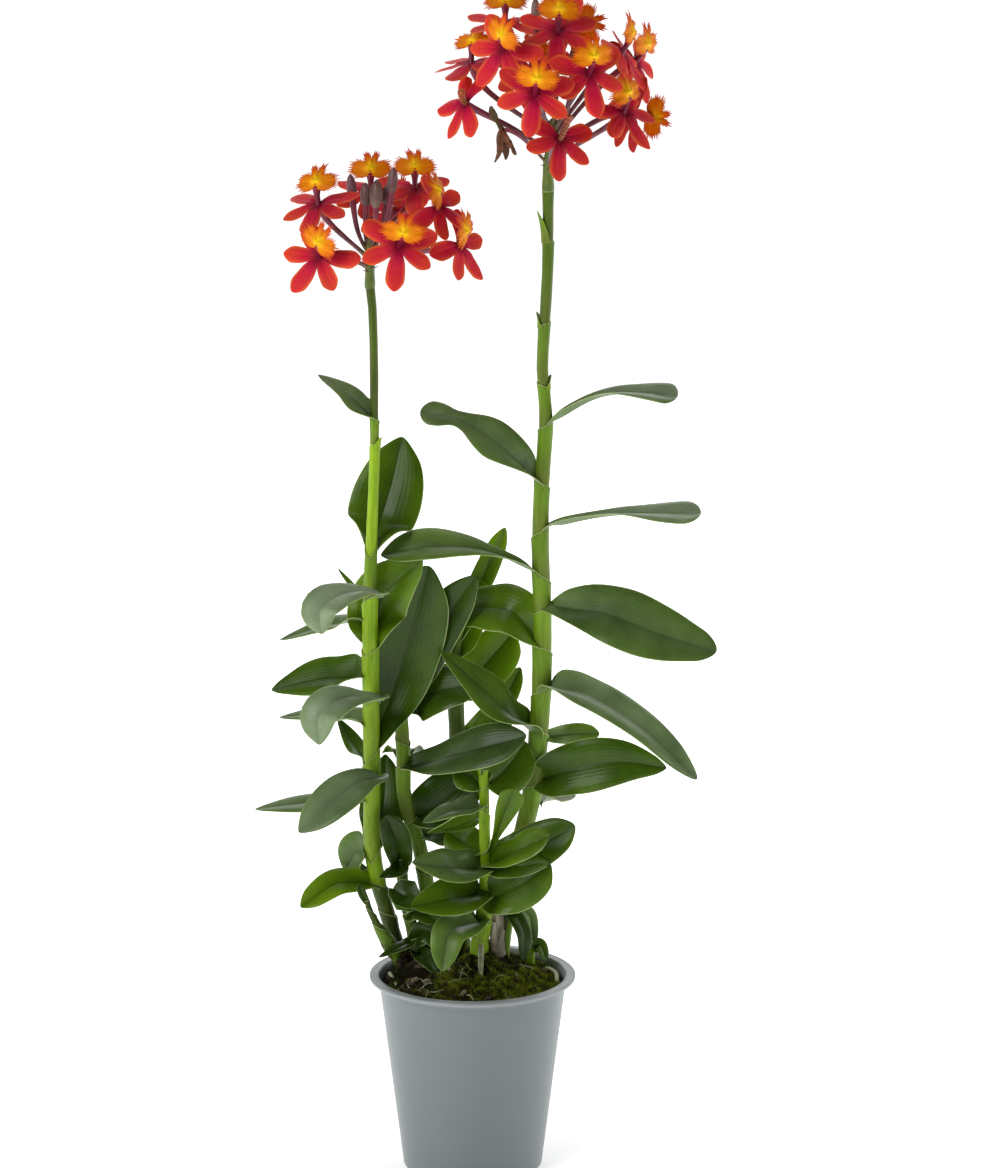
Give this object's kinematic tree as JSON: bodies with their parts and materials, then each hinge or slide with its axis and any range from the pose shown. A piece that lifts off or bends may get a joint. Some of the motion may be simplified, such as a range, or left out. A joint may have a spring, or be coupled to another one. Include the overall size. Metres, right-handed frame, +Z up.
{
  "type": "potted epidendrum orchid",
  "caption": "Reed-stem epidendrum orchid with leafy canes and round heads of small fringed flowers, standing in a tapered plastic nursery pot filled with mossy bark mix.",
  "frame": {"origin": "centre of the flat underside of the pot", "axes": "+Z up along the stems, -Y towards the front of the plant, +X to its right seen from the front"},
  "size_m": [0.2668, 0.1225, 0.6848],
  "materials": {
    "pot_plastic": "smooth semi-gloss cool grey polypropylene",
    "bark_and_moss": "rough dark bark and peat with a matt moss cover",
    "foliage": "waxy green leaves and lighter green stems, satin",
    "pedicel": "satin purple-brown stalks and buds",
    "tepal": "satin crimson to orange petals",
    "lip": "satin orange-yellow fringed lip",
    "root": "matt pale bare root",
    "dried": "matt dry papery brown"
  },
  "bodies": {
    "root": {"pot": "pot_plastic", "potting_mix": "bark_and_moss", "tall_cane": "foliage", "short_cane": "foliage", "mid_cane": "foliage", "back_cane": "foliage", "front_cane": "foliage", "side_shoot": "foliage", "right_shoot": "foliage", "left_shoot": "foliage", "old_stub": "dried", "root_front": "root", "root_left": "root", "root_right": "root", "tall_spray": "pedicel", "tall_bloom_01": "tepal", "tall_lip_01": "lip", "tall_bloom_02": "tepal", "tall_lip_02": "lip", "tall_bloom_03": "tepal", "tall_lip_03": "lip", "tall_bloom_04": "tepal", "tall_bloom_05": "tepal", "tall_lip_05": "lip", "tall_bloom_06": "tepal", "tall_lip_06": "lip", "tall_bloom_07": "tepal", "tall_lip_07": "lip", "tall_bloom_08": "tepal", "tall_lip_08": "lip", "tall_bloom_09": "tepal", "tall_lip_09": "lip", "tall_bloom_10": "tepal", "tall_lip_10": "lip", "tall_bloom_11": "tepal", "tall_lip_11": "lip", "tall_bloom_12": "tepal", "tall_bloom_13": "tepal", "tall_lip_13": "lip", "tall_bloom_14": "tepal", "tall_lip_14": "lip", "short_spray": "pedicel", "short_bloom_01": "tepal", "short_lip_01": "lip", "short_bloom_02": "tepal", "short_lip_02": "lip", "short_bloom_03": "tepal", "short_lip_03": "lip", "short_bloom_04": "tepal", "short_lip_04": "lip", "short_bloom_05": "tepal", "short_lip_05": "lip", "short_bloom_06": "tepal", "short_lip_06": "lip", "short_bloom_07": "tepal", "short_lip_07": "lip", "short_bloom_08": "tepal", "short_lip_08": "lip", "withered_bloom": "dried"}
  },
  "joints": []
}
